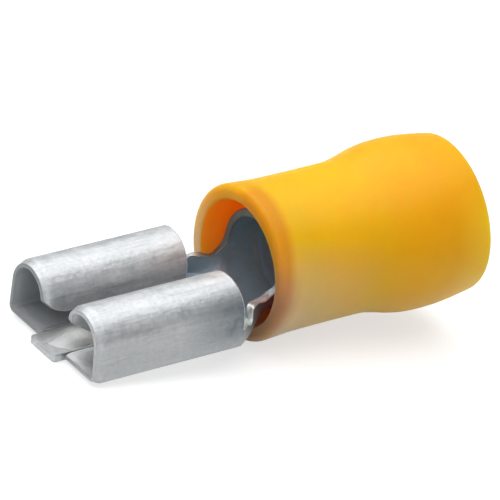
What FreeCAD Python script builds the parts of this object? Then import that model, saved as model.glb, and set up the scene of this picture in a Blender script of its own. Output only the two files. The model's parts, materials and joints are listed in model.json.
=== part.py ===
import FreeCAD, Part
import math
import os

# Female spade terminal with a moulded sleeve, in millimetres.
# The pieces are drawn along X: the tab enters at x = 0 and the wire enters at the far end.
# The underside of the receptacle's floor is z = 0 there. At the end the finished terminal
# is laid down on its tongue and its sleeve's front rim, the way it rests on a table.

# Strip and tab
sheet = 0.4                     # thickness of the stamped strip
tab_thickness = 0.8             # the flat tab that the receptacle grips
tab_clearance = 0.02            # left between the tab and the curled edges

# Receptacle section, sizes of its outer skin
receptacle_width = 7.5          # across the outer walls, over a tab 6.3 wide
bend_radius = 0.5               # outer radius of the two floor bends
wall_lean = 3.0                 # degrees that each wall leans inwards
wall_height = 1.35              # flat stretch of a wall between its bend and its curl
curl_radius = 1.45              # outer radius of a curl
curl_length = 7.85              # length of the curls along the tab

# Mouth of the receptacle
mouth_inset = 0.1               # how far each skin is coined in at the front edge
coin_length = 0.45              # length of the coined bevel
lead_in_length = 1.25           # rounded corner cut off each curl's free edge
lead_in_height = 0.75
lead_in_bow = 0.12              # how far that cut bows out of a straight line

# Spring tongue, cut free of the floor on three sides
tongue_width = 2.0
tongue_reach = 0.42             # how far it stands out in front of the mouth
slit_length = 4.4
slit_width = 0.08
tip_radius = 0.12               # rounding of the tongue's front edges
dimple_half_length = 1.25
dimple_half_width = 0.78
dimple_height = 0.4             # above the tongue's own face
dimple_x = 1.1                  # centre of the dimple behind the mouth

# Neck between the receptacle and the barrel
neck_length = 3.0
neck_stations = 4               # steps in which the section is drawn in towards the barrel
neck_lead = 1.35                # how much sooner the upturned edges are drawn in than the floor
neck_wall_height = 1.6          # height of the upturned edges
notch_floor_height = 0.95       # height left at the notch behind the curls
notch_length = 0.7
notch_radius = 0.25             # bottom corners of the notch
notch_lip_radius = 0.3          # top corner of the upturned edge
neck_corner_radius = 0.75       # where an upturned edge runs up into the barrel
neck_wrap = (-45, -15, 20)      # degrees round the barrel where the floor, the bend and the wall end

# Wire barrel
barrel_bore_radius = 2.0
barrel_length = 6.0
barrel_axis_height = 2.06
seam_width = 0.08               # the butt seam along the top
groove_count = 3                # grip grooves pressed inside the barrel
groove_width = 0.5
groove_depth = 0.08
groove_pitch = 1.4

# Sleeve
sleeve_overhang = 0.95          # how far the sleeve reaches in front of the barrel
sleeve_length = 12.15
rim_outer_radius = 3.72
waist_outer_radius = 3.61
flare_outer_radius = 4.11
tail_outer_radius = 3.85
taper_end = 2.7                 # distances behind the sleeve's front rim
waist_end = 5.8
flare_crest = 9.2
waist_curve_radius = 3.5        # hollow bend where the flare starts
mouth_bore_radius = 3.02
mouth_bore_depth = 2.1
mouth_step_length = 0.6
seat_clearance = 0.02           # between the barrel and the sleeve's seat
entry_bore_radius = 3.2         # room for the wire's insulation
entry_funnel_length = 1.3       # guides the strands into the barrel
stop_thickness = 0.35           # lip that the barrel's rear end faces
stop_clearance = 0.05           # between the barrel's end and that lip
rim_round = 0.32
rim_bore_round = 0.15
tail_round = 0.35

# Places that follow from the sizes above
barrel_outer_radius = barrel_bore_radius + sheet
barrel_front = curl_length + neck_length
barrel_rear = barrel_front + barrel_length
sleeve_front = barrel_front - sleeve_overhang
sleeve_rear = sleeve_front + sleeve_length
floor_half_width = receptacle_width / 2 - bend_radius
tongue_half_width = tongue_width / 2
slot_height = sheet + tab_thickness + tab_clearance
sleeve_stop = barrel_rear + stop_clearance
funnel_front = sleeve_stop + stop_thickness
funnel_rear = funnel_front + entry_funnel_length
ALONG = FreeCAD.Vector(1, 0, 0)
ACROSS = FreeCAD.Vector(0, 1, 0)
OVERSHOOT = 1.0                 # how far a cutting solid runs past what it cuts
SAME_PLACE = 1e-6               # points nearer than this are one point
LENS_SHARE = 0.999              # of a lens's length that is kept, so that it ends in a tiny flat


def vec(x, y, z):
    return FreeCAD.Vector(x, y, z)


def turned(centre, radius, degrees):
    """A point (y, z) at this angle round a centre (y, z)."""
    angle = math.radians(degrees)
    return (centre[0] + radius * math.cos(angle), centre[1] + radius * math.sin(angle))


def line(x, start, end):
    return Part.LineSegment(vec(x, *start), vec(x, *end)).toShape()


def arc(x, centre, radius, start_degrees, end_degrees):
    middle_degrees = (start_degrees + end_degrees) / 2
    points = [turned(centre, radius, a) for a in (start_degrees, middle_degrees, end_degrees)]
    return Part.Arc(*[vec(x, *p) for p in points]).toShape()


def mirrored(edges):
    """The same edges on the other side of the middle plane, in the order that closes the path."""
    return [e.mirror(vec(0, 0, 0), ACROSS) for e in reversed(edges)]


# Receptacle

def half_section(x, depth):
    """One side of the strip, from the floor to the curled edge, at this depth under the outer skin."""
    bend_centre = (floor_half_width, bend_radius)
    wall_foot = turned(bend_centre, bend_radius, wall_lean)
    wall_top = turned(wall_foot, wall_height, 90 + wall_lean)
    curl_centre = turned(wall_top, -curl_radius, wall_lean)
    bend_reach = bend_radius - depth
    curl_reach = curl_radius - depth
    leg_top = turned(curl_centre, curl_reach, 180)
    return [
        arc(x, bend_centre, bend_reach, -90, wall_lean),
        line(x, turned(bend_centre, bend_reach, wall_lean), turned(curl_centre, curl_reach, wall_lean)),
        arc(x, curl_centre, curl_reach, wall_lean, 180),
        line(x, leg_top, (leg_top[0], slot_height)),
    ]


def strip_section(x, inset):
    """Closed section of the whole folded strip, with both skins drawn in by the inset."""
    skins = []
    for depth in (inset, sheet - inset):
        side = half_section(x, depth)
        floor = line(x, (-floor_half_width, depth), (floor_half_width, depth))
        skins.append(mirrored(side) + [floor] + side)
    outer, inner = skins
    caps = []
    for index in (0, -1):
        ends = [min(skin[index].Vertexes, key=lambda v: (v.Z, abs(v.Y))).Point for skin in skins]
        caps.append(Part.LineSegment(*ends).toShape())
    return Part.Wire(Part.__sortEdges__(outer + caps + inner))


def make_curled_strip():
    """Floor, walls and curls, coined thin at the mouth."""
    stations = [strip_section(0, mouth_inset), strip_section(coin_length, 0), strip_section(curl_length, 0)]
    return Part.makeLoft(stations, True, True)


def make_lead_in_cut():
    """Takes the front corner off both curled edges, so that the tab finds its way in."""
    low = vec(lead_in_length, 0, slot_height)
    high = vec(0, 0, slot_height + lead_in_height)
    chord = high - low
    outwards = vec(-chord.z, 0, chord.x).normalize()
    middle = (low + high) * 0.5 + outwards * lead_in_bow
    front_high = vec(-OVERSHOOT, 0, high.z)
    front_low = vec(-OVERSHOOT, 0, sheet + tab_thickness / 2)
    back_low = vec(low.x, 0, front_low.z)
    edges = [Part.Arc(low, middle, high).toShape()]
    corners = [high, front_high, front_low, back_low, low]
    edges += [Part.LineSegment(a, b).toShape() for a, b in zip(corners, corners[1:])]
    half_span = floor_half_width - curl_radius
    face = Part.Face(Part.Wire(edges))
    face.translate(vec(0, -half_span, 0))
    return face.extrude(vec(0, 2 * half_span, 0))


def make_tongue_slot():
    half = tongue_half_width + slit_width
    height = OVERSHOOT + sheet + tab_thickness / 2
    return Part.makeBox(slit_length + OVERSHOOT, 2 * half, height, vec(-OVERSHOOT, -half, -OVERSHOOT))


def make_tongue_blade():
    """Flat blade, level with the floor that it is rooted in, with its front edges rounded."""
    corner = vec(-tongue_reach, -tongue_half_width, 0)
    blade = Part.makeBox(tongue_reach + slit_length, tongue_width, sheet, corner)
    tip_edges = [e for e in blade.Edges if e.BoundBox.XMax < 0 and e.Length > tongue_half_width]
    return blade.makeFillet(tip_radius, tip_edges)


def make_dimple_body(depth):
    """A long lens turned about a line along X. Its upper cap is the dimple's skin at this depth."""
    section_radius = (dimple_half_width ** 2 + dimple_height ** 2) / (2 * dimple_height)
    axis_z = sheet + dimple_height - section_radius
    length_radius = (dimple_half_length ** 2 + dimple_height ** 2) / (2 * dimple_height)
    crown = section_radius - depth
    swing = length_radius - depth
    end_x = math.sqrt(swing ** 2 - (swing - crown) ** 2) * LENS_SHARE
    end_r = math.sqrt(swing ** 2 - end_x ** 2) - (swing - crown)
    left = vec(dimple_x - end_x, 0, axis_z + end_r)
    top = vec(dimple_x, 0, axis_z + crown)
    right = vec(dimple_x + end_x, 0, axis_z + end_r)
    foot_left = vec(left.x, 0, axis_z)
    foot_right = vec(right.x, 0, axis_z)
    edges = [Part.Arc(left, top, right).toShape()]
    corners = [right, foot_right, foot_left, left]
    edges += [Part.LineSegment(a, b).toShape() for a, b in zip(corners, corners[1:])]
    face = Part.Face(Part.Wire(edges))
    return face.revolve(foot_left, ALONG, 360)


def make_tongue():
    blade = make_tongue_blade()
    corner = vec(-tongue_reach, -tongue_half_width, sheet / 2)
    upper_half = Part.makeBox(tongue_reach + slit_length, tongue_width, sheet + dimple_height, corner)
    skin = make_dimple_body(0).common(upper_half)
    return blade.fuse(skin).cut(make_dimple_body(sheet))


# Neck and barrel

def neck_section(share):
    """Closed trough section. The share is 0 where the curls end and 1 at the barrel."""
    x = curl_length + neck_length * share
    outer, inner = [trough_skin(depth, share) for depth in (0, sheet)]
    edges = [line(x, outer[0][0], inner[0][0]), line(x, outer[-1][-1], inner[-1][-1])]
    edges += [line_or_arc(x, *points) for points in outer + inner]
    return Part.Wire(Part.__sortEdges__(edges))


def line_or_arc(x, start, middle, end):
    """Arc through three (y, z) points, or a line where the middle one lies on it."""
    places = [vec(x, *point) for point in (start, middle, end)]
    if places[1].distanceToLine(places[0], places[2] - places[0]) < SAME_PLACE:
        return line(x, start, end)
    return Part.Arc(*places).toShape()


def trough_skin(depth, share):
    """Left wall, bend, floor, bend and right wall, drawn in from the curls' section to the barrel's."""
    low = drawn_in(share)
    top = drawn_in(share * neck_lead)
    bend = [low, low, low]
    wall = [low, (low + top) / 2, top]
    shares = [wall[::-1], bend, bend, bend, wall]
    skin = []
    for starts, ends, steps in zip(trough_at_receptacle(depth), trough_at_barrel(depth), shares):
        skin.append([between(*places) for places in zip(starts, ends, steps)])
    return skin


def drawn_in(share):
    """Rises from 0 to 1 with a level start and a level end."""
    share = min(share, 1)
    return share ** 2 * (3 - 2 * share)


def between(start, end, share):
    return tuple(a + (b - a) * share for a, b in zip(start, end))


def trough_at_receptacle(depth):
    """Left wall, bend, floor, bend and right wall, each as three (y, z) points."""
    centre = (floor_half_width, bend_radius)
    reach = bend_radius - depth
    foot = turned(centre, reach, wall_lean)
    top = turned(foot, wall_height, 90 + wall_lean)
    bend = [turned(centre, reach, a) for a in (-90, (wall_lean - 90) / 2, wall_lean)]
    wall = [foot, between(foot, top, 0.5), top]
    right = [bend, wall]
    left = [[(-y, z) for y, z in reversed(piece)] for piece in reversed(right)]
    return left + [[(y, depth) for y in (-floor_half_width, 0, floor_half_width)]] + right


def trough_at_barrel(depth):
    """The same five edges wrapped round the barrel: its bottom, its lower sides and its upper sides."""
    centre = (0, barrel_axis_height)
    reach = barrel_outer_radius - depth
    stops = [-180 - degrees for degrees in reversed(neck_wrap)] + list(neck_wrap)
    pieces = []
    for start, end in zip(stops, stops[1:]):
        pieces.append([turned(centre, reach, a) for a in (start, (start + end) / 2, end)])
    return pieces


def make_neck_trough():
    sections = [neck_section(step / neck_stations) for step in range(neck_stations + 1)]
    return Part.makeLoft(sections, True, True)


def make_neck_trim():
    """Everything above the neck's edge, seen from the side and pushed through both walls."""
    top = barrel_axis_height + barrel_outer_radius
    notch_end = curl_length + notch_length
    outline = [
        (curl_length, top, 0),
        (curl_length, notch_floor_height, notch_radius),
        (notch_end, notch_floor_height, notch_radius),
        (notch_end, neck_wall_height, notch_lip_radius),
        (barrel_front, neck_wall_height, neck_corner_radius),
        (barrel_front, top, 0),
    ]
    wire = rounded_outline(outline)
    face = Part.Face(wire)
    face.translate(vec(0, -receptacle_width, 0))
    return face.extrude(vec(0, 2 * receptacle_width, 0))


def rounded_outline(corners):
    """Closed outline in the XZ plane. Each corner is (x, z, rounding radius)."""
    count = len(corners)
    places = [vec(x, 0, z) for x, z, _ in corners]
    edges = []
    starts = []
    ends = []
    for index in range(count):
        corner = places[index]
        radius = corners[index][2]
        to_last = (places[index - 1] - corner).normalize()
        to_next = (places[(index + 1) % count] - corner).normalize()
        if radius == 0:
            starts.append(corner)
            ends.append(corner)
            continue
        half_angle = to_last.getAngle(to_next) / 2
        reach = radius / math.tan(half_angle)
        start = corner + to_last * reach
        end = corner + to_next * reach
        bisector = (to_last + to_next).normalize()
        middle = corner + bisector * (radius / math.sin(half_angle) - radius)
        edges.append(Part.Arc(start, middle, end).toShape())
        starts.append(start)
        ends.append(end)
    for index in range(count):
        a = ends[index]
        b = starts[(index + 1) % count]
        if a.distanceToPoint(b) > SAME_PLACE:
            edges.append(Part.LineSegment(a, b).toShape())
    return Part.Wire(Part.__sortEdges__(edges))


def make_barrel():
    """Rolled tube with its butt seam on top and grip grooves inside."""
    start = vec(barrel_front, 0, barrel_axis_height)
    tube = Part.makeCylinder(barrel_outer_radius, barrel_length, start, ALONG)
    cuts = [Part.makeCylinder(barrel_bore_radius, barrel_length, start, ALONG)]
    seam_corner = vec(barrel_front, -seam_width / 2, barrel_axis_height)
    cuts.append(Part.makeBox(barrel_length, seam_width, barrel_outer_radius + OVERSHOOT, seam_corner))
    first = barrel_length / 2 - groove_pitch * (groove_count - 1) / 2 - groove_width / 2
    for index in range(groove_count):
        place = vec(barrel_front + first + index * groove_pitch, 0, barrel_axis_height)
        cuts.append(Part.makeCylinder(barrel_bore_radius + groove_depth, groove_width, place, ALONG))
    return tube.cut(cuts)


def make_terminal():
    strip = make_curled_strip().cut([make_lead_in_cut(), make_tongue_slot()])
    neck = make_neck_trough().cut(make_neck_trim())
    return strip.fuse([make_tongue(), neck, make_barrel()]).removeSplitter()


# Sleeve

def arc_through(start, middle, end):
    return Part.Arc(start, middle, end).toShape()


def level_arc(level_point, far_point):
    """Arc between two points that runs level, along the axis, at the first one."""
    run = far_point.x - level_point.x
    rise = far_point.z - level_point.z
    radius = (run ** 2 + rise ** 2) / (2 * rise)
    centre = vec(level_point.x, 0, level_point.z + radius)
    return arc_on_circle(centre, level_point, far_point)


def arc_on_circle(centre, start, end):
    """Shorter arc round this centre from one point to another."""
    middle = ((start - centre) + (end - centre)).normalize() * start.distanceToPoint(centre)
    return arc_through(start, centre + middle, end)


def make_flare_curve():
    """Hollow arc at the waist, then the round crest of the flare, level at both ends."""
    run = flare_crest - waist_end
    rise = flare_outer_radius - waist_outer_radius
    swing = 2 * math.atan2(rise, run)
    waist = vec(sleeve_front + waist_end, 0, waist_outer_radius)
    crest = vec(sleeve_front + flare_crest, 0, flare_outer_radius)
    crest_curve_radius = run / math.sin(swing) - waist_curve_radius
    hollow_centre = waist + vec(0, 0, waist_curve_radius)
    crest_centre = crest - vec(0, 0, crest_curve_radius)
    meeting = hollow_centre + (crest_centre - hollow_centre).normalize() * waist_curve_radius
    return [arc_on_circle(hollow_centre, waist, meeting), arc_on_circle(crest_centre, meeting, crest)]


def make_tail_curve():
    """From the crest down to the rounded rear edge, without a corner between the two arcs."""
    crest = vec(sleeve_front + flare_crest, 0, flare_outer_radius)
    run = sleeve_rear - tail_round - crest.x
    fall = flare_outer_radius - tail_outer_radius
    tail_curve_radius = (run ** 2 + fall ** 2) / (2 * fall)
    tail_centre = crest - vec(0, 0, tail_curve_radius)
    side_run = run / (tail_curve_radius - tail_round)
    towards_shoulder = vec(side_run, 0, math.sqrt(1 - side_run ** 2))
    shoulder = tail_centre + towards_shoulder * tail_curve_radius
    round_centre = shoulder - towards_shoulder * tail_round
    end = round_centre + ALONG * tail_round
    return [arc_on_circle(tail_centre, crest, shoulder), arc_on_circle(round_centre, shoulder, end)]


def make_sleeve_outside():
    """Outer line of the sleeve from the top of its rounded rim to the foot of its rounded tail."""
    rim = vec(sleeve_front + rim_round, 0, rim_outer_radius)
    taper_foot = vec(sleeve_front + taper_end, 0, waist_outer_radius)
    waist = vec(sleeve_front + waist_end, 0, waist_outer_radius)
    barrel_cover = Part.LineSegment(taper_foot, waist).toShape()
    return [level_arc(taper_foot, rim), barrel_cover] + make_flare_curve() + make_tail_curve()


def quarter(corner, towards_start, towards_end, radius):
    """Quarter round that replaces a square corner, from one side of it to the other."""
    start = corner + towards_start * radius
    end = corner + towards_end * radius
    centre = corner + (towards_start + towards_end) * radius
    middle = centre + (corner - centre).normalize() * radius
    return arc_through(start, middle, end)


def make_sleeve_profile():
    """Half section of the sleeve above its axis, z being the distance from the axis."""
    up = vec(0, 0, 1)
    seat_radius = barrel_outer_radius + seat_clearance
    step_start = sleeve_front + mouth_bore_depth
    front_outer = vec(sleeve_front, 0, rim_outer_radius)
    front_inner = vec(sleeve_front, 0, mouth_bore_radius)
    rear_inner = vec(sleeve_rear, 0, entry_bore_radius)
    outside = make_sleeve_outside()
    tail_foot = max((v.Point for v in outside[-1].Vertexes), key=lambda point: point.x)
    edges = outside + [
        quarter(front_inner, ALONG, up, rim_bore_round),
        quarter(front_outer, -up, ALONG, rim_round),
    ]
    inside = [
        rear_inner,
        vec(funnel_rear, 0, entry_bore_radius),
        vec(funnel_front, 0, barrel_bore_radius),
        vec(sleeve_stop, 0, barrel_bore_radius),
        vec(sleeve_stop, 0, seat_radius),
        vec(step_start + mouth_step_length, 0, seat_radius),
        vec(step_start, 0, mouth_bore_radius),
        vec(sleeve_front + rim_bore_round, 0, mouth_bore_radius),
    ]
    flats = [
        (front_inner + up * rim_bore_round, front_outer - up * rim_round),
        (tail_foot, rear_inner),
    ]
    flats += list(zip(inside, inside[1:]))
    for a, b in flats:
        if a.distanceToPoint(b) > SAME_PLACE:
            edges.append(Part.LineSegment(a, b).toShape())
    return Part.Wire(Part.__sortEdges__(edges))


def make_sleeve():
    profile = Part.Face(make_sleeve_profile())
    sleeve = profile.revolve(vec(0, 0, 0), ALONG, 360)
    sleeve.translate(vec(0, 0, barrel_axis_height))
    return sleeve


# Resting place

def rest_pitch():
    """Degrees that the terminal tips down at its mouth when it lies on its tongue and its sleeve's rim."""
    tip_x = tip_radius - tongue_reach
    rim_x = sleeve_front + rim_round
    drop = rim_outer_radius - barrel_axis_height
    return math.degrees(math.atan2(drop, rim_x - tip_x))


def resting_placement(shapes):
    """Tips the pieces about the mouth's cross line, then stands them on z = 0, centred."""
    tip_over = FreeCAD.Placement(vec(0, 0, 0), FreeCAD.Rotation(ACROSS, -rest_pitch()))
    tipped = Part.makeCompound([shape.transformed(tip_over.toMatrix()) for shape in shapes])
    box = tipped.optimalBoundingBox(False)
    return FreeCAD.Placement(vec(-box.Center.x, -box.Center.y, -box.ZMin), tip_over.Rotation)


def make_pieces():
    pieces = {"stamped_terminal": make_terminal(), "insulating_sleeve": make_sleeve()}
    lay_down = resting_placement(list(pieces.values())).toMatrix()
    return {name: piece.transformed(lay_down) for name, piece in pieces.items()}


os.makedirs("parts", exist_ok=True)
for name, piece in make_pieces().items():
    piece.exportStep("parts/" + name + ".step")
    print(name, "solids", len(piece.Solids), "valid", piece.isValid(), "volume", round(piece.Volume, 2))
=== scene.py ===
import json
import math

import bpy
from mathutils import Matrix, Quaternion, Vector
from mathutils.geometry import delaunay_2d_cdt


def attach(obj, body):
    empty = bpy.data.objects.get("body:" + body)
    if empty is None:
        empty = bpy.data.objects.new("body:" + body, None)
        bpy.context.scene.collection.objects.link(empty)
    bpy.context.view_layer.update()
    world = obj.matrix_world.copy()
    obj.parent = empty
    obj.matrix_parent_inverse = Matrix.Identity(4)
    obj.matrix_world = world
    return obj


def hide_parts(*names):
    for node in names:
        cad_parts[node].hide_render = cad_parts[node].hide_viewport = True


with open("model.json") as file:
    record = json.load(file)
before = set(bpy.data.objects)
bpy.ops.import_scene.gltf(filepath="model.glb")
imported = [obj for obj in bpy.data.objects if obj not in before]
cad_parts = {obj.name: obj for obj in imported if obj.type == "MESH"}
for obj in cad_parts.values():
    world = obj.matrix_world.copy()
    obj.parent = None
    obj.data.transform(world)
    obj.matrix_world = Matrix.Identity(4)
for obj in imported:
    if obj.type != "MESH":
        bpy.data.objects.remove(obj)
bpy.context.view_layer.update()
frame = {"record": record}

# A female spade terminal: a folded strip of tinned brass with a moulded plastic sleeve.
# Both pieces are drawn in millimetres along their own X axis, with the tab's mouth at x = 0 and the
# underside of the receptacle's floor at z = 0, and are then laid down where the wire barrel says.
MM = 0.001

# Strip
SHEET = 0.4
HALF_SHEET = SHEET / 2
CUT_ROUND = 0.07                  # rounding of the sheared edges
SLIT_ROUND = 0.03
TIP_ROUND = 0.12
TIP_BAND = 0.05                   # this close to the tip, the tip's rounding holds
CORNER_ROUND = 0.12               # corners of the flat blank

# Receptacle
FLOOR_HALF = 3.25                 # from the middle to the bend
BEND_RADIUS = 0.5                 # outer skin
WALL_LEAN = math.radians(3)
WALL_HEIGHT = 1.35
CURL_RADIUS = 1.45                # outer skin
CURL_EDGE_HEIGHT = 1.22           # where the curled strip ends above the floor
CURL_REAR_TOP = 7.78              # the curls end here on top
CURL_REAR_SIDE = 7.98             # and here at the side walls
CURL_REAR_SIDE_HEIGHT = 1.75
CURL_REAR_EDGE_ROUND = 0.15
CURL_REAR_TOP_ROUND = 0.6
CURL_REAR_SIDE_ROUND = 0.3
MOUTH_CORNER_ROUND = 0.1
COIN_LENGTH = 0.45
COIN_OUTSIDE = 0.16
COIN_INSIDE = 0.05
LEAD_IN_LENGTH = 1.25
LEAD_IN_TOP = 1.97
LEAD_IN_BOW = 0.12
# The near curl's own cut, as (height, along, rounding)
NEAR_LEAD_IN = ((2.75, 0, 0.3), (1.95, 0.24, 0.35))

# Tongue
TONGUE_HALF = 1.0
TONGUE_REACH = 0.56
TONGUE_CORNER_ROUND = 0.2
TONGUE_SWAY = -0.1                # the tip stands a little to one side
SWAY_FROM = 0.15                  # the sway fades out from here beside the tongue
SWAY_FADE = 0.5
SLIT_LENGTH = 4.4
SLIT_WIDTH = 0.06
SLIT_END_ROUND = SLIT_WIDTH * 0.45
DIMPLE_X = 1.22
DIMPLE_HALF_LENGTH = 1.4
DIMPLE_HALF_WIDTH = 1.05
DIMPLE_HEIGHT = 0.42
DIMPLE_FADE = 1.5

# Neck and barrel
NECK_START = 7.8
NECK_END = 10.7
NECK_WALL_START = 7.95            # the upturned edges are drawn in sooner than the floor
NECK_WALL_END = 10.6
NECK_WALL_EASE = 2.3
UPTURN_LOW = 3.2
UPTURN_HIGH = 3.85
NECK_WALL_HEIGHT = 1.45
NECK_EDGE_SPACING = 0.2
NOTCH_HEIGHT = 1.12               # at the curl's end
NOTCH_REAR_HEIGHT = 0.72          # at the neck
NOTCH_REAR = 8.91
NOTCH_ROUND = 0.08
NOTCH_LIP_ROUND = 0.25
NOTCH_LIP_LENGTH = 2.5 * NOTCH_LIP_ROUND
NOTCH_STEPS = 3
BARREL_CORNER_ROUND = 0.85
BARREL_FRONT = 10.85
BARREL_REAR = 16.85
BARREL_AXIS_HEIGHT = 2.06
BARREL_MID_RADIUS = 2.2
SEAM_HALF = 0.04
GROOVE_PLACES = (12.45, 13.85, 15.25)
GROOVE_HALF = 0.3
GROOVE_DEPTH = 0.05

# Sleeve, as (distance along X, radius)
SLEEVE_OUTSIDE = (
    (10.22, 3.72), (10.9, 3.68), (11.7, 3.63), (12.6, 3.615), (14.3, 3.61), (15.5, 3.62),
    (16.1, 3.65), (16.8, 3.78), (17.6, 3.975), (18.3, 4.08), (19.1, 4.11), (19.9, 4.085),
    (20.6, 4.015), (21.2, 3.93), (21.75, 3.845),
)
SLEEVE_FRONT = 9.9
SLEEVE_REAR = 22.05
MOUTH_BORE = 3.02
SEAT_BORE = 2.42
ENTRY_BORE = 3.2
STEP_FRONT = 12.0
STEP_REAR = 12.6
STOP_FRONT = 16.9
STOP_REAR = 17.25
STOP_BORE = 2.0
FUNNEL_REAR = 18.55
RIM_ROUND = 0.32
RIM_INNER_ROUND = 0.14
TAIL_ROUND = 0.33
BORE_ROUND = 0.25
SLANT_START = 18.0                # from here on the rear end leans out of square
SLANT_ACROSS = 0.04
SLANT_UP = 0.075
BORE_MARGIN = 0.02                # the bore's own finish ends this far outside the mouth's bore

# Fineness of the meshes: gaps and steps in millimetres, and counts
ARC_STEP = 0.3                    # radians
OUTLINE_SPACING = 0.14
ROW_GAP = 0.16                    # lines of points across the blank
FINE_ROW_GAP = 0.08               # and near a grip groove
NEAR_GROOVE = 0.5
COLUMN_GAP = 0.13                 # lines of points along the blank
FINE_COLUMN_GAP = 0.06            # and at the bends
BEND_MARGIN = 0.1
EDGE_GAP = 0.06                   # no filling point this close to the outline
CELL = 0.1                        # side of the squares that the outline's points are sorted into
PROBE = 0.01                      # step for directions and slopes
EDGE_PROBE = 0.02
SLACK = 0.01
TINY = 1e-6
HALVINGS = 30
BOW_STEPS = 8
QUARTER_STEPS = 8
SLEEVE_SPACING = 0.16
BORE_SPACING = 0.3
AROUND = 192                      # segments round the sleeve

# Camera in the pieces' own millimetres, measured on the photograph
CAMERA_PLACE = Vector((-99.054, -141.982, 104.899))
CAMERA_TARGET = Vector((7.152, -4.47, 5.85))
CAMERA_ROLL = math.radians(6.84)
CAMERA_LENS = 324
CAMERA_SENSOR = 36
CAMERA_REACH = 10                 # metres

# The blank's second coordinate is moved by this on the outer skin, and twice as far on the cut edges
OUTER_SHIFT = 40
EDGE_SHIFT = 2 * OUTER_SHIFT


def place_on_table():
    """Matrix from the pieces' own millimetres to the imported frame, from the wire barrel's mount."""
    mounts = {mount["name"]: mount for mount in frame["record"]["mounts"]}
    barrel = mounts["wire_barrel"]
    turn = Vector((1, 0, 0)).rotation_difference(Vector(barrel["axis"])).to_matrix().to_4x4()
    own_end = Vector((BARREL_REAR, 0, BARREL_AXIS_HEIGHT))
    to_end = Matrix.Translation(barrel["pos_m"])
    return to_end @ turn @ Matrix.Scale(MM, 4) @ Matrix.Translation(-own_end)


ON_TABLE = place_on_table()


# Folding

def on_circle(centre, radius, angle):
    return (centre[0] + radius * math.cos(angle), centre[1] + radius * math.sin(angle))


BEND_CENTRE = (FLOOR_HALF, BEND_RADIUS)
WALL_FOOT = on_circle(BEND_CENTRE, BEND_RADIUS, WALL_LEAN)
WALL_TOP = on_circle(WALL_FOOT, WALL_HEIGHT, WALL_LEAN + math.pi / 2)
CURL_CENTRE = on_circle(WALL_TOP, -CURL_RADIUS, WALL_LEAN)
BEND_RUN = (BEND_RADIUS - HALF_SHEET) * (math.pi / 2 + WALL_LEAN)
CURL_RUN = (CURL_RADIUS - HALF_SHEET) * (math.pi - WALL_LEAN)
BEND_END = FLOOR_HALF + BEND_RUN
WALL_END = BEND_END + WALL_HEIGHT
CURL_END = WALL_END + CURL_RUN
STRIP_END = CURL_END + CURL_CENTRE[1] - CURL_EDGE_HEIGHT
# How far round the barrel, from its underside, each line of the flat blank goes
WRAP = (
    (0, 0), (FLOOR_HALF, math.radians(45)), (BEND_END, math.radians(75)),
    (WALL_END, math.radians(110)),
)
SEAM_EDGE = WALL_END + (math.pi - WRAP[-1][1]) * BARREL_MID_RADIUS - SEAM_HALF


def receptacle_section(out):
    """Middle of the strip as (y, z), this far out along the strip from the floor's middle."""
    if out <= FLOOR_HALF:
        return (out, HALF_SHEET)
    if out <= BEND_END:
        radius = BEND_RADIUS - HALF_SHEET
        return on_circle(BEND_CENTRE, radius, (out - FLOOR_HALF) / radius - math.pi / 2)
    if out <= WALL_END:
        foot = on_circle(BEND_CENTRE, BEND_RADIUS - HALF_SHEET, WALL_LEAN)
        return on_circle(foot, out - BEND_END, WALL_LEAN + math.pi / 2)
    radius = CURL_RADIUS - HALF_SHEET
    if out <= CURL_END:
        return on_circle(CURL_CENTRE, radius, WALL_LEAN + (out - WALL_END) / radius)
    return (CURL_CENTRE[0] - radius, CURL_CENTRE[1] - (out - CURL_END))


def barrel_section(out):
    """The same place on the strip once it is rolled round the barrel."""
    angle = WRAP[-1][1] + (out - WALL_END) / BARREL_MID_RADIUS
    for (low, low_angle), (high, high_angle) in zip(WRAP, WRAP[1:]):
        if out <= high:
            angle = low_angle + (high_angle - low_angle) * (out - low) / (high - low)
            break
    return on_circle((0, BARREL_AXIS_HEIGHT), BARREL_MID_RADIUS, angle - math.pi / 2)


def smooth(share):
    share = min(max(share, 0.0), 1.0)
    return share * share * (3 - 2 * share)


def drawn_in(out, along):
    """How far the neck has gone from the receptacle's section to the barrel's, upturned edges first."""
    low = smooth((along - NECK_START) / (NECK_END - NECK_START))
    share = min(max((along - NECK_WALL_START) / (NECK_WALL_END - NECK_WALL_START), 0.0), 1.0)
    high = 1 - (1 - share) ** NECK_WALL_EASE
    upturned = smooth((out - UPTURN_LOW) / (UPTURN_HIGH - UPTURN_LOW))
    return low + (high - low) * upturned


def tongue_rise(across, along):
    """How far the tongue's dimple stands above the floor."""
    spread = (across / DIMPLE_HALF_WIDTH) ** 2 + ((along - DIMPLE_X) / DIMPLE_HALF_LENGTH) ** 2
    return DIMPLE_HEIGHT * max(0.0, 1 - spread) ** DIMPLE_FADE


def folded(out, along):
    """Middle of the folded strip for a point of the flat blank."""
    reach = abs(out)
    share = drawn_in(reach, along)
    start = receptacle_section(reach)
    end = barrel_section(reach)
    across = start[0] + (end[0] - start[0]) * share
    height = start[1] + (end[1] - start[1]) * share + tongue_rise(reach, along)
    return Vector((along, math.copysign(across, out), height))


def skin_frame(out, along):
    """Direction square out of the strip's inner skin, and the direction along the strip."""
    side_step = folded(out + PROBE, along) - folded(out - PROBE, along)
    long_step = folded(out, along + PROBE) - folded(out, along - PROBE)
    return long_step.cross(side_step).normalized(), long_step.normalized()


# Flat blank

def reach_at_height(along, height):
    """How far out along the strip the folded wall reaches this height."""
    low, high = FLOOR_HALF, SEAM_EDGE
    for _ in range(HALVINGS):
        middle = (low + high) / 2
        if folded(middle, along).z < height:
            low = middle
        else:
            high = middle
    return (low + high) / 2


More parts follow.
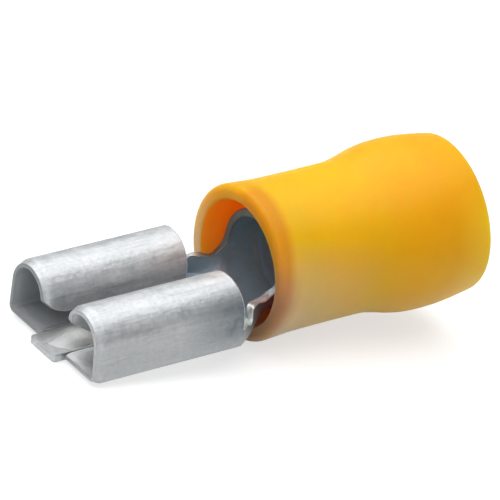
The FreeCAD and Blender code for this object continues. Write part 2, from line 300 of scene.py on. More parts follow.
def rounded(corners):
    """Open path through (out, along, rounding) corners, with each corner rounded."""
    path = []
    for index, (out, along, radius) in enumerate(corners):
        corner = Vector((out, along))
        if radius == 0 or index in (0, len(corners) - 1):
            path.append(corner)
            continue
        to_last = (Vector(corners[index - 1][:2]) - corner).normalized()
        to_next = (Vector(corners[index + 1][:2]) - corner).normalized()
        half_angle = to_last.angle(to_next) / 2
        centre = corner + (to_last + to_next).normalized() * (radius / math.sin(half_angle))
        start = corner + to_last * (radius / math.tan(half_angle)) - centre
        end = corner + to_next * (radius / math.tan(half_angle)) - centre
        turn = start.angle_signed(end)
        steps = max(3, math.ceil(abs(turn) / ARC_STEP))
        for step in range(steps + 1):
            swing = -turn * step / steps
            arm = Vector((
                start.x * math.cos(swing) - start.y * math.sin(swing),
                start.x * math.sin(swing) + start.y * math.cos(swing),
            ))
            path.append(centre + arm)
    return path


def divided(path, spacing):
    """The same path with points no farther apart than the spacing."""
    result = [path[0]]
    for start, end in zip(path, path[1:]):
        gap = (end - start).length
        if gap < TINY:
            continue
        steps = max(1, math.ceil(gap / spacing))
        result += [start.lerp(end, step / steps) for step in range(1, steps + 1)]
    return result


def out_on_leg(height):
    """How far out along the strip the curl's free leg is at this height."""
    radius = CURL_RADIUS - HALF_SHEET
    return WALL_END + radius * (math.pi - WALL_LEAN - math.asin((height - CURL_CENTRE[1]) / radius))


def lead_in_corners(near):
    """Cut from the mouth's edge on the curl to the curled edge: bowed, or steeper on the near curl."""
    if near:
        cut = [(out_on_leg(height), along, rounding) for height, along, rounding in NEAR_LEAD_IN]
        return cut + [(STRIP_END, LEAD_IN_LENGTH, CORNER_ROUND)]
    start = Vector((out_on_leg(LEAD_IN_TOP), 0))
    end = Vector((STRIP_END, LEAD_IN_LENGTH))
    chord = end - start
    bow = Vector((chord.y, -chord.x)).normalized() * LEAD_IN_BOW
    points = []
    for step in range(BOW_STEPS + 1):
        share = step / BOW_STEPS
        points.append(start.lerp(end, share) + bow * 4 * share * (1 - share))
    inner = [(point.x, point.y, 0) for point in points[1:-1]]
    return [(start.x, start.y, CORNER_ROUND)] + inner + [(end.x, end.y, CORNER_ROUND)]


def blank_half(near):
    """One half of the blank's outline, from the middle of the tongue's tip to the rear's middle."""
    slit_out = TONGUE_HALF + SLIT_WIDTH
    corners = [
        (0, -TONGUE_REACH, 0),
        (TONGUE_HALF, -TONGUE_REACH, TONGUE_CORNER_ROUND),
        (TONGUE_HALF, SLIT_LENGTH, SLIT_END_ROUND),
        (slit_out, SLIT_LENGTH, SLIT_END_ROUND),
        (slit_out, 0, MOUTH_CORNER_ROUND),
    ]
    corners += lead_in_corners(near)
    curl_top = WALL_END + (CURL_RADIUS - HALF_SHEET) * (math.pi / 2 - WALL_LEAN)
    corners += [
        (STRIP_END, CURL_REAR_TOP, CURL_REAR_EDGE_ROUND),
        (curl_top, CURL_REAR_TOP, CURL_REAR_TOP_ROUND),
        (reach_at_height(CURL_REAR_SIDE, CURL_REAR_SIDE_HEIGHT), CURL_REAR_SIDE, CURL_REAR_SIDE_ROUND),
    ]
    for step in range(NOTCH_STEPS + 1):
        along = CURL_REAR_SIDE + (NOTCH_REAR - CURL_REAR_SIDE) * step / NOTCH_STEPS
        height = NOTCH_HEIGHT + (NOTCH_REAR_HEIGHT - NOTCH_HEIGHT) * step / NOTCH_STEPS
        corners.append((reach_at_height(along, height), along, NOTCH_ROUND))
    corners.append((reach_at_height(NOTCH_REAR, NECK_WALL_HEIGHT), NOTCH_REAR, NOTCH_LIP_ROUND))
    along = NOTCH_REAR + NOTCH_LIP_LENGTH
    while along < BARREL_FRONT - BARREL_CORNER_ROUND:
        corners.append((reach_at_height(along, NECK_WALL_HEIGHT), along, 0))
        along += NECK_EDGE_SPACING
    corners += [
        (reach_at_height(BARREL_FRONT, NECK_WALL_HEIGHT), BARREL_FRONT, BARREL_CORNER_ROUND),
        (SEAM_EDGE, BARREL_FRONT, CORNER_ROUND),
        (SEAM_EDGE, BARREL_REAR, CORNER_ROUND),
        (0, BARREL_REAR, 0),
    ]
    return divided(rounded(corners), OUTLINE_SPACING)


def blank_outline():
    """Whole outline of the blank, once round."""
    half = blank_half(False)
    other = [Vector((-point.x, point.y)) for point in reversed(blank_half(True)[1:-1])]
    return half + other


def swayed(point):
    """The same place of the outline, with the tongue and its slits leaning to one side."""
    nearness = 1 - smooth((abs(point.x) - TONGUE_HALF - SWAY_FROM) / SWAY_FADE)
    return Vector((point.x + tongue_sway(point.y) * nearness, point.y))


def tongue_sway(along):
    return TONGUE_SWAY * min(max(1 - along / SLIT_LENGTH, 0.0), 1.0)


def edge_round(point):
    """Rounding of the cut edge at this place of the outline."""
    reach = abs(point.x)
    near_slit = TONGUE_HALF - SLACK < reach < TONGUE_HALF + SLIT_WIDTH + SLACK
    if point.y < TIP_BAND - TONGUE_REACH and reach < TONGUE_HALF:
        return TIP_ROUND
    return SLIT_ROUND if near_slit and point.y > MOUTH_CORNER_ROUND else CUT_ROUND


def outward(points, index):
    """Unit vector that points out of the outline, in the plane of the blank."""
    count = len(points)
    run = points[(index + 1) % count] - points[index - 1]
    return Vector((run.y, -run.x)).normalized()


def coined(out, along):
    """How far the mouth's edge is coined thin here, from 0 to 1."""
    if abs(out - tongue_sway(along)) < TONGUE_HALF + SLIT_WIDTH / 2:
        return 0.0
    return 1 - smooth(along / COIN_LENGTH)


def groove(along):
    """Depth of the grip grooves stamped into the barrel's inside."""
    shares = [smooth(1 - abs(along - place) / GROOVE_HALF) for place in GROOVE_PLACES]
    return sum(GROOVE_DEPTH * share for share in shares)


def inside(point, polygon):
    """True if the point lies within the closed outline."""
    hit = False
    last = polygon[-1]
    for this in polygon:
        if (this.y > point.y) != (last.y > point.y):
            if point.x < (last.x - this.x) * (point.y - this.y) / (last.y - this.y) + this.x:
                hit = not hit
        last = this
    return hit


def cell_of(point):
    return (math.floor(point.x / CELL), math.floor(point.y / CELL))


def clear_of_edge(point, cells):
    """True if no point of the outline, sorted into cells, is close to the point."""
    column, row = cell_of(point)
    for i in (column - 1, column, column + 1):
        for j in (row - 1, row, row + 1):
            if any((point - other).length < EDGE_GAP for other in cells.get((i, j), ())):
                return False
    return True


def spread_points(outline):
    """Points inside the blank, close together where the strip bends."""
    rows = []
    along = -TONGUE_REACH
    while along < BARREL_REAR:
        rows.append(along)
        near_groove = any(abs(along - place) < NEAR_GROOVE for place in GROOVE_PLACES)
        along += FINE_ROW_GAP if near_groove else ROW_GAP
    columns = []
    out = 0.0
    while out < STRIP_END:
        columns.append(out)
        bending = FLOOR_HALF - BEND_MARGIN < out < BEND_END + BEND_MARGIN
        out += FINE_COLUMN_GAP if bending else COLUMN_GAP
    cells = {}
    for point in outline:
        cells.setdefault(cell_of(point), []).append(point)
    kept = []
    for along in rows:
        for out in columns:
            for side in (1, -1) if out > 0 else (1,):
                point = Vector((side * out, along))
                if clear_of_edge(point, cells) and inside(point, outline):
                    kept.append(point)
    return kept


def rim_profile(radius, inner, outer):
    """Rounded cut edge, inner skin to outer, as (out of the outline, along the normal, angle)."""
    upper = []
    lower = []
    for angle in (math.radians(60), math.radians(30), 0.0):
        reach = radius * math.cos(angle)
        rise = radius * math.sin(angle)
        upper.append((reach, inner - radius + rise, angle))
        lower.insert(0, (reach, radius - outer - rise, -angle))
    return upper + lower


def skin_depth(out, along, sign):
    """From the middle of the strip to its inner (1) or outer (-1) skin."""
    if sign < 0:
        return HALF_SHEET - COIN_OUTSIDE * coined(out, along)
    return HALF_SHEET - COIN_INSIDE * coined(out, along) - groove(along)


def build_strip():
    """The whole stamping: flat blank, folded, given its thickness and rounded cut edges."""
    straight = blank_outline()
    rounds = [edge_round(point) for point in straight]
    outline = [swayed(point) for point in straight]
    count = len(outline)
    edge = [outline[i] - outward(outline, i) * rounds[i] for i in range(count)]
    filling = spread_points(edge)
    flat = edge + filling
    ring = [(i, (i + 1) % count) for i in range(count)]
    points, _, triangles, origins, _, _ = delaunay_2d_cdt(flat, ring, [], 1, TINY)
    lookup = {source[0]: index for index, source in enumerate(origins) if source}
    vertices = []
    shading = []
    coordinates = []
    frames = [skin_frame(point.x, point.y) for point in points]
    for sign in (1, -1):
        for point, (normal, lengthwise) in zip(points, frames):
            out, along = point
            vertices.append(folded(out, along) + normal * skin_depth(out, along, sign) * sign)
            gain = skin_depth(out, along + PROBE, sign) - skin_depth(out, along - PROBE, sign)
            slope = gain / (2 * PROBE)
            shading.append((normal * sign - lengthwise * slope).normalized())
            coordinates.append((along, out + (sign < 0) * OUTER_SHIFT))
    total = len(points)
    faces = [tuple(reversed(face)) for face in triangles]
    faces += [tuple(total + i for i in face) for face in triangles]
    skin_faces = len(faces)
    rows = []
    for i in range(count):
        index = lookup[i]
        point = points[index]
        normal = frames[index][0]
        away = outward(outline, i)
        centre = folded(point.x, point.y)
        tip = folded(point.x + away.x * EDGE_PROBE, point.y + away.y * EDGE_PROBE) - centre
        away_3d = (tip - normal * tip.dot(normal)).normalized()
        row = [index]
        inner = skin_depth(point.x, point.y, 1)
        outer = skin_depth(point.x, point.y, -1)
        for reach, height, angle in rim_profile(rounds[i], inner, outer):
            row.append(len(vertices))
            vertices.append(centre + away_3d * reach + normal * height)
            shading.append(away_3d * math.cos(angle) + normal * math.sin(angle))
            coordinates.append((point.y, point.x + height + EDGE_SHIFT))
        row.append(total + index)
        rows.append(row)
    for this, following in zip(rows, rows[1:] + rows[:1]):
        for step in range(len(this) - 1):
            faces.append((this[step], following[step], following[step + 1], this[step + 1]))
    return vertices, faces, shading, coordinates, skin_faces


# Sleeve

def curve_through(stations, spacing):
    """Smooth line through (x, radius) stations."""
    points = []
    for index in range(len(stations) - 1):
        before = Vector(stations[max(index - 1, 0)])
        start = Vector(stations[index])
        end = Vector(stations[index + 1])
        after = Vector(stations[min(index + 2, len(stations) - 1)])
        leave = (end - before) / max(end.x - before.x, TINY) * (end.x - start.x)
        arrive = (after - start) / max(after.x - start.x, TINY) * (end.x - start.x)
        steps = max(2, math.ceil((end - start).length / spacing))
        for step in range(steps):
            t = step / steps
            points.append(
                start * (2 * t ** 3 - 3 * t ** 2 + 1) + leave * (t ** 3 - 2 * t ** 2 + t)
                + end * (3 * t ** 2 - 2 * t ** 3) + arrive * (t ** 3 - t ** 2)
            )
    points.append(Vector(stations[-1]))
    return points


def quarter(centre, radius, start, end):
    """Arc in the half section between two angles in degrees."""
    arc = []
    for step in range(QUARTER_STEPS + 1):
        angle = math.radians(start + (end - start) * step / QUARTER_STEPS)
        arc.append(Vector(on_circle(centre, radius, angle)))
    return arc


def sleeve_section():
    """Closed half section of the sleeve as (x, radius) points."""
    outside = curve_through(SLEEVE_OUTSIDE, SLEEVE_SPACING)
    rim_centre = (SLEEVE_FRONT + RIM_ROUND, SLEEVE_OUTSIDE[0][1] - RIM_ROUND)
    mouth_centre = (SLEEVE_FRONT + RIM_INNER_ROUND, MOUTH_BORE + RIM_INNER_ROUND)
    entry_centre = (SLEEVE_REAR - BORE_ROUND, ENTRY_BORE + BORE_ROUND)
    tail_end = SLEEVE_OUTSIDE[-1]
    tail_lean = math.degrees(math.atan2(
        outside[-1].x - outside[-2].x, outside[-2].y - outside[-1].y))
    tail_arm = on_circle((0, 0), TAIL_ROUND, math.radians(tail_lean))
    tail_centre = (tail_end[0] - tail_arm[0], tail_end[1] - tail_arm[1])
    path = quarter(rim_centre, RIM_ROUND, 180, 90)[:-1]
    path += outside
    path += quarter(tail_centre, TAIL_ROUND, tail_lean, 0)[1:]
    path += quarter(entry_centre, BORE_ROUND, 0, -90)
    path += divided([Vector(corner) for corner in (
        (SLEEVE_REAR - BORE_ROUND, ENTRY_BORE), (FUNNEL_REAR, ENTRY_BORE),
        (STOP_REAR, STOP_BORE), (STOP_FRONT, STOP_BORE),
        (STOP_FRONT, SEAT_BORE), (STEP_REAR, SEAT_BORE), (STEP_FRONT, MOUTH_BORE),
    )], BORE_SPACING)[1:]
    path += quarter(mouth_centre, RIM_INNER_ROUND, 270, 180)
    return path


def build_sleeve(section):
    """Turns the half section round the barrel's axis."""
    rows = len(section)
    vertices = []
    faces = []
    for turn in range(AROUND):
        angle = 2 * math.pi * turn / AROUND
        for point in section:
            y, z = on_circle((0, 0), point.y, angle)
            share = smooth((point.x - SLANT_START) / (SLEEVE_REAR - SLANT_START))
            x = point.x + share * (SLANT_ACROSS * y - SLANT_UP * z)
            vertices.append(Vector((x, y, z + BARREL_AXIS_HEIGHT)))
    for turn in range(AROUND):
        here = turn * rows
        there = (turn + 1) % AROUND * rows
        for row in range(rows):
            after = (row + 1) % rows
            faces.append((here + row, there + row, there + after, here + after))
    return vertices, faces


def make_piece(name, vertices, faces, node, shading=None):
    """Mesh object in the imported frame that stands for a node."""
    mesh = bpy.data.meshes.new(name)
    mesh.from_pydata([ON_TABLE @ v for v in vertices], [], faces)
    mesh.shade_smooth()
    if shading:
        turn = ON_TABLE.to_quaternion()
        mesh.normals_split_custom_set_from_vertices([turn @ normal for normal in shading])
    mesh.update()
    piece = bpy.data.objects.new(name, mesh)
    bpy.context.scene.collection.objects.link(piece)
    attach(piece, "root")
    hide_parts(node)
    return piece


# Node helpers

def new_group(name, inputs, outputs):
    """Shader node group with named sockets. Inputs are (name, kind, default)."""
    group = bpy.data.node_groups.new(name, "ShaderNodeTree")
    for label, kind, default in inputs:
        socket = group.interface.new_socket(label, in_out="INPUT", socket_type=kind)
        if default is not None:
            socket.default_value = default
    for label, kind in outputs:
        group.interface.new_socket(label, in_out="OUTPUT", socket_type=kind)
    source = group.nodes.new("NodeGroupInput")
    sink = group.nodes.new("NodeGroupOutput")
    return group, source.outputs, sink.inputs


def add_node(tree, kind, **settings):
    """New node with its properties set and its inputs filled or linked."""
    node = tree.nodes.new(kind)
    sockets = settings.pop("sockets", {})
    for key, value in settings.items():
        setattr(node, key, value)
    for key, value in sockets.items():
        if isinstance(value, bpy.types.NodeSocket):
            tree.links.new(value, node.inputs[key])
        else:
            node.inputs[key].default_value = value
    return node


def mapped(tree, value, low, high, to_low, to_high):
    """Value stretched from one range to another."""
    node = add_node(tree, "ShaderNodeMapRange", sockets={
        "Value": value, "From Min": low, "From Max": high, "To Min": to_low, "To Max": to_high})
    return node.outputs["Result"]


def blended(tree, share, first, second):
    """Colour between two colours. The Mix node's colour sockets go by number."""
    node = add_node(
        tree, "ShaderNodeMix", data_type="RGBA", sockets={0: share, 6: first, 7: second})
    return node.outputs[2]


def tinted(tree, tone, mask, share, colour):
    """Tone blended towards a colour where the mask is, at most by this share."""
    return blended(tree, mapped(tree, mask, 0, 1, 0, share), tone, colour)


def combined(tree, operation, first, second, clamped=False):
    """Result of a Math node on two values."""
    node = add_node(
        tree, "ShaderNodeMath", operation=operation, use_clamp=clamped, sockets={0: first, 1: second})
    return node.outputs[0]


def product(tree, values):
    """All values multiplied together."""
    result = values[0]
    for value in values[1:]:
        result = combined(tree, "MULTIPLY", result, value)
    return result


def stretched(tree, place, scale):
    """Coordinates multiplied by a fixed scale on each axis."""
    node = add_node(tree, "ShaderNodeVectorMath", operation="MULTIPLY", sockets={0: place, 1: scale})
    return node.outputs["Vector"]


def make_noise_group(name, density, detail, roughness, low, high, drawn_out=None):
    """Mask made from noise, whose density is given per millimetre. Place is in millimetres."""
    group, given, result = new_group(
        name,
        [("Place", "NodeSocketVector", None), (density, "NodeSocketFloat", 1.0)],
        [("Mask", "NodeSocketFloat")],
    )
    place = stretched(group, given["Place"], drawn_out) if drawn_out else given["Place"]
    noise = add_node(group, "ShaderNodeTexNoise", sockets={
        "Vector": place, "Scale": given[density], "Detail": detail, "Roughness": roughness})
    group.links.new(mapped(group, noise.outputs["Fac"], low, high, 0, 1), result["Mask"])
    return group


# Soft cloudy patches, fine rolling streaks along X, and the grain of a plated or moulded skin
MOTTLE = make_noise_group(
    "soft mottle", "Patches per mm", detail=4.0, roughness=0.55, low=0.32, high=0.68)
STREAKS = make_noise_group(
    "rolling streaks", "Lines per mm", detail=3.0, roughness=0.6, low=0.3, high=0.7,
    drawn_out=(0.07, 1.0, 1.0))
SPECKLE = make_noise_group(
    "fine speckle", "Grains per mm", detail=2.0, roughness=0.5, low=0.25, high=0.75)


def placed_group(tree, group, place, **values):
    """Output of one of the groups, with its own values."""
    node = add_node(tree, "ShaderNodeGroup", node_tree=group)
    tree.links.new(place, node.inputs["Place"])
    for label, value in values.items():
        node.inputs[label.replace("_", " ")].default_value = value
    return node.outputs["Mask"]


def new_material(name):
    material = bpy.data.materials.new(name)
    material.use_nodes = True
    tree = material.node_tree
    return material, tree, tree.nodes["Principled BSDF"]


def object_place_mm(tree):
    """Place on the object in millimetres."""
    place = add_node(tree, "ShaderNodeTexCoord").outputs["Object"]
    return stretched(tree, place, (1 / MM, 1 / MM, 1 / MM))


def bumped(tree, shader, bumps):
    """Relief from (height, millimetres) pairs, each laid over the last."""
    normal = None
    for height, rise in bumps:
        sockets = {"Height": height, "Strength": 1.0, "Distance": rise * MM}
        if normal:
            sockets["Normal"] = normal
        normal = add_node(tree, "ShaderNodeBump", sockets=sockets).outputs["Normal"]
    tree.links.new(normal, shader.inputs["Normal"])


# Places with painted light and shade of their own. A fade is (coordinate, start, end, value before,
# value after) in millimetres, and a place is the product of its fades.

def place_masks(tree, coordinates, places):
    """One mask for each place, by name."""
    masks = {}
    for place, fades in places.items():
        masks[place] = product(tree, [mapped(tree, coordinates[name], *span) for name, *span in fades])
    return masks


# On the blank: along it, out from its middle, and folded, which falls from OUTER_SHIFT in the middle
# of the outer skin towards both of its sides. The inner skin, the outer skin and the cut edges part
# halfway between their middles.
SKINS_PART = OUTER_SHIFT / 2
EDGES_PART = (OUTER_SHIFT + EDGE_SHIFT) / 2
INNER_SKIN = ("out", SKINS_PART, SKINS_PART + 1, 1, 0)
PAST_INNER_SKIN = ("out", SKINS_PART, SKINS_PART + 1, 0, 1)
BEFORE_CUT_EDGES = ("out", EDGES_PART, EDGES_PART + 1, 1, 0)
CUT_EDGES = ("out", EDGES_PART, EDGES_PART + 1, 0, 1)
BEFORE_NECK = ("along", 6.5, 8.5, 1, 0)
STRIP_PLACES = {
    "far": (INNER_SKIN, BEFORE_NECK, ("out", 1.0, 1.4, 0, 1)),
    "near": (INNER_SKIN, BEFORE_NECK, ("out", -1.4, -1.0, 1, 0)),
    "near_curl": (INNER_SKIN, BEFORE_NECK, ("out", -5.0, -3.5, 1, 0)),
    "tongue": (
        ("out", -1.2, -1.05, 0, 1), ("out", 1.05, 1.2, 1, 0),
        ("along", 3.4, 4.4, 1, 0), ("along", -0.5, 0.7, 0.1, 1),
    ),
    "neck": (INNER_SKIN, ("along", 7.0, 9.0, 0, 1)),
    "outside": (PAST_INNER_SKIN, BEFORE_CUT_EDGES, ("along", 7.9, 9.0, 0, 1)),
    "deep": (INNER_SKIN, ("along", 10.0, 11.4, 0, 1)),
    "rims": (("out", EDGE_SHIFT, EDGE_SHIFT + 1, 0, 1), ("along", 9.2, 9.6, 0, 1)),
    "wall": (
        ("out", OUTER_SHIFT - 5.8, OUTER_SHIFT - 5, 0, 1),
        ("out", OUTER_SHIFT - 2, OUTER_SHIFT - 1, 1, 0),
    ),
    # Painted shade in a cloudy band along the near curl and wall
    "pressed": (
        ("folded", OUTER_SHIFT - WALL_END - 1.6, OUTER_SHIFT - WALL_END - 0.3, 0, 1),
        ("folded", OUTER_SHIFT - WALL_END + 0.6, OUTER_SHIFT - FLOOR_HALF, 1, 0),
        ("along", 4.5, 7.4, 0, 1),
    ),
    "mouth": (
        CUT_EDGES, ("along", 0.3, 0.6, 1, 0), ("along", -0.15, -0.05, 0, 1),
        ("out", EDGE_SHIFT - 5, EDGE_SHIFT + 3, 0.3, 1),
    ),
}
# Painted shade under the sleeve: every skin is dark from 10.1 along, and the far side's cut edge
# already from 9.3
DARK_START = (EDGE_SHIFT - 5, EDGE_SHIFT + 5, -10.1, -9.3)
DARK_FADE = 0.5
PAINTED_SHADE_CLOUDS = (0.6, 1.0)
# Painted shade and painted light by place: place, share of the tone there, tone
STRIP_TONES = (
    # Painted shade inside the far wall and curl
    ("far", 0.85, (0.44, 0.465, 0.48, 1)),
    # Painted light inside the near side
    ("near", 0.8, (0.66, 0.67, 0.68, 1)),
    # Painted light inside the near curl
    ("near_curl", 0.8, (0.88, 0.89, 0.9, 1)),
    # Painted shade on the tongue, deepening from its tip back under the curls
    ("tongue", 0.75, (0.32, 0.32, 0.31, 1)),
    # Painted shade in the neck and barrel, and on every skin under the sleeve
    ("barrel", 0.85, (0.3, 0.385, 0.45, 1)),
    # Painted shade on the outside of the neck, where the sleeve's mouth overhangs
    ("outside", 0.85, (0.1, 0.115, 0.14, 1)),
    # Painted shade deep inside the barrel, bluish and a little lighter than the neck's
    ("deep", 0.85, (0.32, 0.42, 0.49, 1)),
    # Painted shade on the cut edges round the barrel, under the sleeve
    ("rims", 0.8, (0.1, 0.11, 0.085, 1)),
    # Painted shade on the outside of the near wall
    ("wall", 0.38, (0.3, 0.31, 0.31, 1)),
    # Painted shade in a cloudy band along the near curl and wall
    ("pressed", 0.95, (0.12, 0.15, 0.175, 1)),
    # Painted shade on the mouth's cut edges, strongest on the far curl
    ("mouth", 0.8, (0.2, 0.21, 0.215, 1)),
)
STREAK_SHARE = 0.7
GRAIN_SHARE = 0.5
SCRATCH_SHARE = 0.32
SCRATCH_START = 0.6               # only the strongest streaks are scratches
SCRATCH_TONE = (0.24, 0.255, 0.265, 1)
METALLIC = (0.88, 0.6)            # in general, and in the far and deep places


def strip_masks(tree, blank, clouds):
    """Masks on the blank for the places with painted shade and painted light, by name."""
    axes = add_node(tree, "ShaderNodeSeparateXYZ", sockets={0: blank})
    along, out = axes.outputs["X"], axes.outputs["Y"]
    folds = combined(tree, "PINGPONG", out, OUTER_SHIFT)
    masks = place_masks(tree, {"along": along, "out": out, "folded": folds}, STRIP_PLACES)
    # The painted shade band is broken up by the clouds
    masks["pressed"] = product(tree, [masks["pressed"], mapped(tree, clouds, 0, 1, *PAINTED_SHADE_CLOUDS)])
    # Painted shade: the neck, its outside and everything past DARK_START
    past_start = combined(tree, "ADD", along, mapped(tree, out, *DARK_START))
    barrel = combined(tree, "MAXIMUM", masks["neck"], masks["outside"])
    masks["barrel"] = combined(tree, "MAXIMUM", barrel, mapped(tree, past_start, 0, DARK_FADE, 0, 1))
    return masks


def make_tin(name, dark, light, roughness, streak_height, grain_height):
    """Tin plating on rolled brass strip: cloudy greys, streaks along the strip and a fine grain."""
    material, tree, shader = new_material(name)
    blank = add_node(tree, "ShaderNodeUVMap", uv_map="blank").outputs["UV"]
    clouds = placed_group(tree, MOTTLE, blank, Patches_per_mm=1.6)
    streaks = placed_group(tree, STREAKS, blank, Lines_per_mm=7.0)
    scratches = placed_group(tree, STREAKS, blank, Lines_per_mm=4.5)
    grain = placed_group(tree, SPECKLE, blank, Grains_per_mm=5.0)
    masks = strip_masks(tree, blank, clouds)
    tone = blended(tree, clouds, dark, light)
    tone = tinted(tree, tone, streaks, STREAK_SHARE, dark)
    tone = tinted(tree, tone, grain, GRAIN_SHARE, light)
    scratched = mapped(tree, scratches, SCRATCH_START, 1, 0, SCRATCH_SHARE)
    tone = blended(tree, scratched, tone, SCRATCH_TONE)
    # Painted shade and painted light, place by place, over the plating's own tones
    for place, share, colour in STRIP_TONES:
        tone = tinted(tree, tone, masks[place], share, colour)
    tree.links.new(tone, shader.inputs["Base Color"])
    tree.links.new(mapped(tree, clouds, 0, 1, *roughness), shader.inputs["Roughness"])
    matt = combined(tree, "MAXIMUM", masks["far"], masks["deep"])
    tree.links.new(mapped(tree, matt, 0, 1, *METALLIC), shader.inputs["Metallic"])
    bumped(tree, shader, ((streaks, streak_height), (grain, grain_height)))
    return material


# On the sleeve, places of painted light and shade: X, Y and Z from the middle of its front
SLEEVE_PLACES = {
    "lower": (("Z", 2.0, -3.2, 0, 1),),
    "flare_top": (("X", 5.5, 9.0, 0, 0.7), ("Z", 1.0, 3.6, 0, 1)),
    "flare_edge": (("X", 9.5, 12.0, 0, 1), ("Z", 4.8, 3.2, 0, 1)),
    # Painted haze on the low front, standing in for the table's reflection and the barrel seen through
    # the plastic
    "painted_haze": (("X", 0.0, 6.0, 1, 0), ("Z", 2.6, -1.2, 0, 1)),
    "near_side": (("Y", 0.6, -0.8, 0, 1),),
    "upper_side": (("Z", 1.0, 2.6, 0, 0.5),),
    "lip": (("X", 0.2, 0.7, 0.7, 0),),
    "shaded": (("Y", 0.6, -0.8, 0, 1), ("Z", 1.7, -0.3, 0, 1)),
}
SHADE_START = 0.1
SHADE_SHARE = 0.85
# Painted light from the white table, paler towards the bottom
UNDERSIDE_PAINTED_LIGHT_TONE = (1.0, 0.56, 0.09, 1)
# Painted shade on the top of the flare
FLARE_TOP_PAINTED_SHADE = (0.76, 0.35, 0.0, 1)
# Painted light on the rear end of the flare
FLARE_EDGE_PAINTED_LIGHT = (1.0, 0.6, 0.02, 1)
# Painted haze on the low front, standing in for the table's reflection and the barrel seen through the
# plastic
PAINTED_HAZE_TONE = (0.76, 0.57, 0.38, 1)
# Painted shade on the front lip, near and upper sides
LIP_PAINTED_SHADE = (0.56, 0.2, 0.0, 1)
PVC_ROUGHNESS = (0.42, 0.52)
PVC_SPECULAR = 0.2
WAVE_HEIGHT = 0.012
SKIN_HEIGHT = 0.002


def make_pvc(name, dark, light, scatter, depth, shade, shade_reach, painted_pale_share):
    """Soft yellow PVC with a satin, very slightly uneven moulded skin."""
    material, tree, shader = new_material(name)
    place_mm = object_place_mm(tree)
    clouds = placed_group(tree, MOTTLE, place_mm, Patches_per_mm=0.35)
    grain = placed_group(tree, SPECKLE, place_mm, Grains_per_mm=7.0)
    front = ON_TABLE @ Vector((SLEEVE_FRONT, 0, BARREL_AXIS_HEIGHT)) / MM
    from_front = add_node(
        tree, "ShaderNodeVectorMath", operation="SUBTRACT", sockets={0: place_mm, 1: front})
    axes = add_node(tree, "ShaderNodeSeparateXYZ", sockets={0: from_front.outputs["Vector"]}).outputs
    masks = place_masks(tree, axes, SLEEVE_PLACES)
    sides = combined(tree, "ADD", masks["near_side"], masks["upper_side"], clamped=True)
    lip = product(tree, [sides, masks["lip"]])
    shaded = product(tree, [masks["shaded"], mapped(tree, axes["X"], SHADE_START, shade_reach, 1, 0)])
    tone = blended(tree, clouds, dark, light)
    # Painted light: paler towards the bottom
    tone = tinted(tree, tone, masks["lower"], painted_pale_share, UNDERSIDE_PAINTED_LIGHT_TONE)
    # Painted shade on the top of the flare
    tone = blended(tree, masks["flare_top"], tone, FLARE_TOP_PAINTED_SHADE)
    # Painted light on the rear end of the flare
    tone = blended(tree, masks["flare_edge"], tone, FLARE_EDGE_PAINTED_LIGHT)
    # Painted haze on the low front
    tone = tinted(tree, tone, masks["painted_haze"], painted_pale_share, PAINTED_HAZE_TONE)
    # Painted shade on the front lip
    tone = blended(tree, lip, tone, LIP_PAINTED_SHADE)
    tone = tinted(tree, tone, shaded, SHADE_SHARE, shade)
    tree.links.new(tone, shader.inputs["Base Color"])
    tree.links.new(mapped(tree, clouds, 0, 1, *PVC_ROUGHNESS), shader.inputs["Roughness"])
    shader.inputs["Specular IOR Level"].default_value = PVC_SPECULAR
    shader.inputs["Subsurface Weight"].default_value = 1.0
    shader.inputs["Subsurface Radius"].default_value = scatter
    shader.inputs["Subsurface Scale"].default_value = depth * MM
    bumped(tree, shader, ((clouds, WAVE_HEIGHT), (grain, SKIN_HEIGHT)))
    return material


TABLE_TONES = ((0.47, 0.47, 0.47, 1), (0.49, 0.49, 0.49, 1))
TABLE_LIFT = 0.62                 # added where the table is seen, so that it shows white


def make_table_material():
    """White table that keeps the terminal's soft shadow."""
    material, tree, shader = new_material("white_table")
    clouds = placed_group(tree, MOTTLE, object_place_mm(tree), Patches_per_mm=0.02)
    tree.links.new(blended(tree, clouds, *TABLE_TONES), shader.inputs["Base Color"])
    shader.inputs["Roughness"].default_value = 0.9
    shader.inputs["Specular IOR Level"].default_value = 0.1
    shader.inputs["Emission Color"].default_value = (1, 1, 1, 1)
    ray = add_node(tree, "ShaderNodeLightPath").outputs
    mirrored = combined(tree, "ADD", ray["Is Glossy Ray"], ray["Is Transmission Ray"], clamped=True)
    seen = combined(tree, "ADD", ray["Is Camera Ray"], mirrored, clamped=True)
    tree.links.new(mapped(tree, seen, 0, 1, 0, TABLE_LIFT), shader.inputs["Emission Strength"])
    return material


# Making

def make_strip():
    vertices, faces, shading, coordinates, skin_faces = build_strip()
    strip = make_piece("folded_strip", vertices, faces, "stamped_terminal", shading)
    blank = strip.data.uv_layers.new(name="blank")
    for loop in strip.data.loops:
        blank.data[loop.index].uv = coordinates[loop.vertex_index]
    strip.data.materials.append(make_tin(
        "tin_plate", dark=(0.42, 0.445, 0.462, 1), light=(0.68, 0.692, 0.695, 1),
        roughness=(0.49, 0.61), streak_height=0.006, grain_height=0.01))
    strip.data.materials.append(make_tin(
        "sheared_edge", dark=(0.42, 0.45, 0.44, 1), light=(0.93, 0.98, 0.96, 1),
        roughness=(0.5, 0.62), streak_height=0.01, grain_height=0.03))
    for face in strip.data.polygons:
        at_mouth = max(coordinates[index][0] for index in face.vertices) < COIN_LENGTH
        face.material_index = 1 if face.index >= skin_faces and not at_mouth else 0


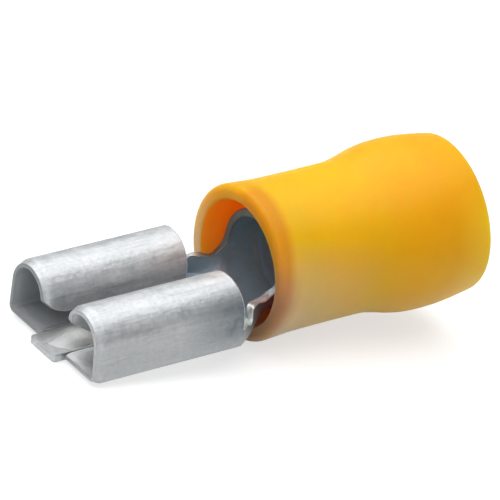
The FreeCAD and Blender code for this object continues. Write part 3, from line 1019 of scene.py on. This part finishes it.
def make_sleeve():
    section = sleeve_section()
    vertices, faces = build_sleeve(section)
    sleeve = make_piece("moulded_sleeve", vertices, faces, "insulating_sleeve")
    sleeve.data.materials.append(make_pvc(
        "yellow_pvc", dark=(0.8, 0.41, 0.0, 1), light=(0.82, 0.435, 0.0, 1),
        scatter=(1.0, 0.4, 0.06), depth=2.4,
        shade=(0.3, 0.19, 0.12, 1), shade_reach=1.2, painted_pale_share=0.9))
    # Painted light: a deeper, redder orange in the bore, standing in for light bounced round inside the
    # yellow plastic
    sleeve.data.materials.append(make_pvc(
        "yellow_pvc_bore_painted_glow", dark=(1.0, 0.31, 0.0, 1), light=(1.0, 0.34, 0.005, 1),
        scatter=(1.0, 0.3, 0.02), depth=6.0,
        shade=(0.2, 0.22, 0.24, 1), shade_reach=8.0, painted_pale_share=0.1))
    bore_rows = {row for row, point in enumerate(section) if point.y < MOUTH_BORE + BORE_MARGIN}
    for face in sleeve.data.polygons:
        in_bore = all(index % len(section) in bore_rows for index in face.vertices)
        face.material_index = 1 if in_bore else 0


# Table, light and camera

TABLE_REACH = 1.5                 # metres
LAMP_AIM = (0, 0, 4)              # millimetres, like the lamps' places and sizes
WORLD_STRENGTH = 0.35


def make_table():
    corners = [(x * TABLE_REACH, y * TABLE_REACH, 0) for x, y in ((-1, -1), (1, -1), (1, 1), (-1, 1))]
    mesh = bpy.data.meshes.new("table")
    mesh.from_pydata(corners, [], [(0, 1, 2, 3)])
    table = bpy.data.objects.new("table", mesh)
    bpy.context.scene.collection.objects.link(table)
    mesh.materials.append(make_table_material())


def add_softbox(name, place, size, power):
    """Large lamp aimed at the terminal."""
    lamp = bpy.data.lights.new(name, "AREA")
    lamp.shape = "RECTANGLE"
    lamp.size = size[0] * MM
    lamp.size_y = size[1] * MM
    lamp.energy = power
    holder = bpy.data.objects.new(name, lamp)
    holder.location = Vector(place) * MM
    direction = Vector(LAMP_AIM) - Vector(place)
    holder.rotation_euler = direction.to_track_quat("-Z", "Y").to_euler()
    bpy.context.scene.collection.objects.link(holder)


def light_world():
    world = bpy.data.worlds.new("studio")
    bpy.context.scene.world = world
    world.use_nodes = True
    background = world.node_tree.nodes["Background"]
    background.inputs["Color"].default_value = (1, 1, 1, 1)
    background.inputs["Strength"].default_value = WORLD_STRENGTH


def add_camera():
    camera = bpy.data.cameras.new("photo_view")
    camera.lens = CAMERA_LENS
    camera.sensor_width = CAMERA_SENSOR
    camera.clip_end = CAMERA_REACH
    holder = bpy.data.objects.new("photo_view", camera)
    aim = (CAMERA_TARGET - CAMERA_PLACE).to_track_quat("-Z", "Y")
    aim = aim @ Quaternion((0, 0, 1), CAMERA_ROLL)
    holder.rotation_mode = "QUATERNION"
    holder.rotation_quaternion = ON_TABLE.to_quaternion() @ aim
    holder.location = ON_TABLE @ CAMERA_PLACE
    bpy.context.scene.collection.objects.link(holder)
    bpy.context.scene.camera = holder


make_strip()
make_sleeve()
make_table()
add_softbox("top_softbox", place=(-20, 40, 258), size=(450, 460), power=1.32)
add_softbox("camera_side_fill", place=(-180, -200, 125), size=(200, 200), power=0.125)
light_world()
add_camera()
bpy.context.scene.view_settings.view_transform = "Standard"
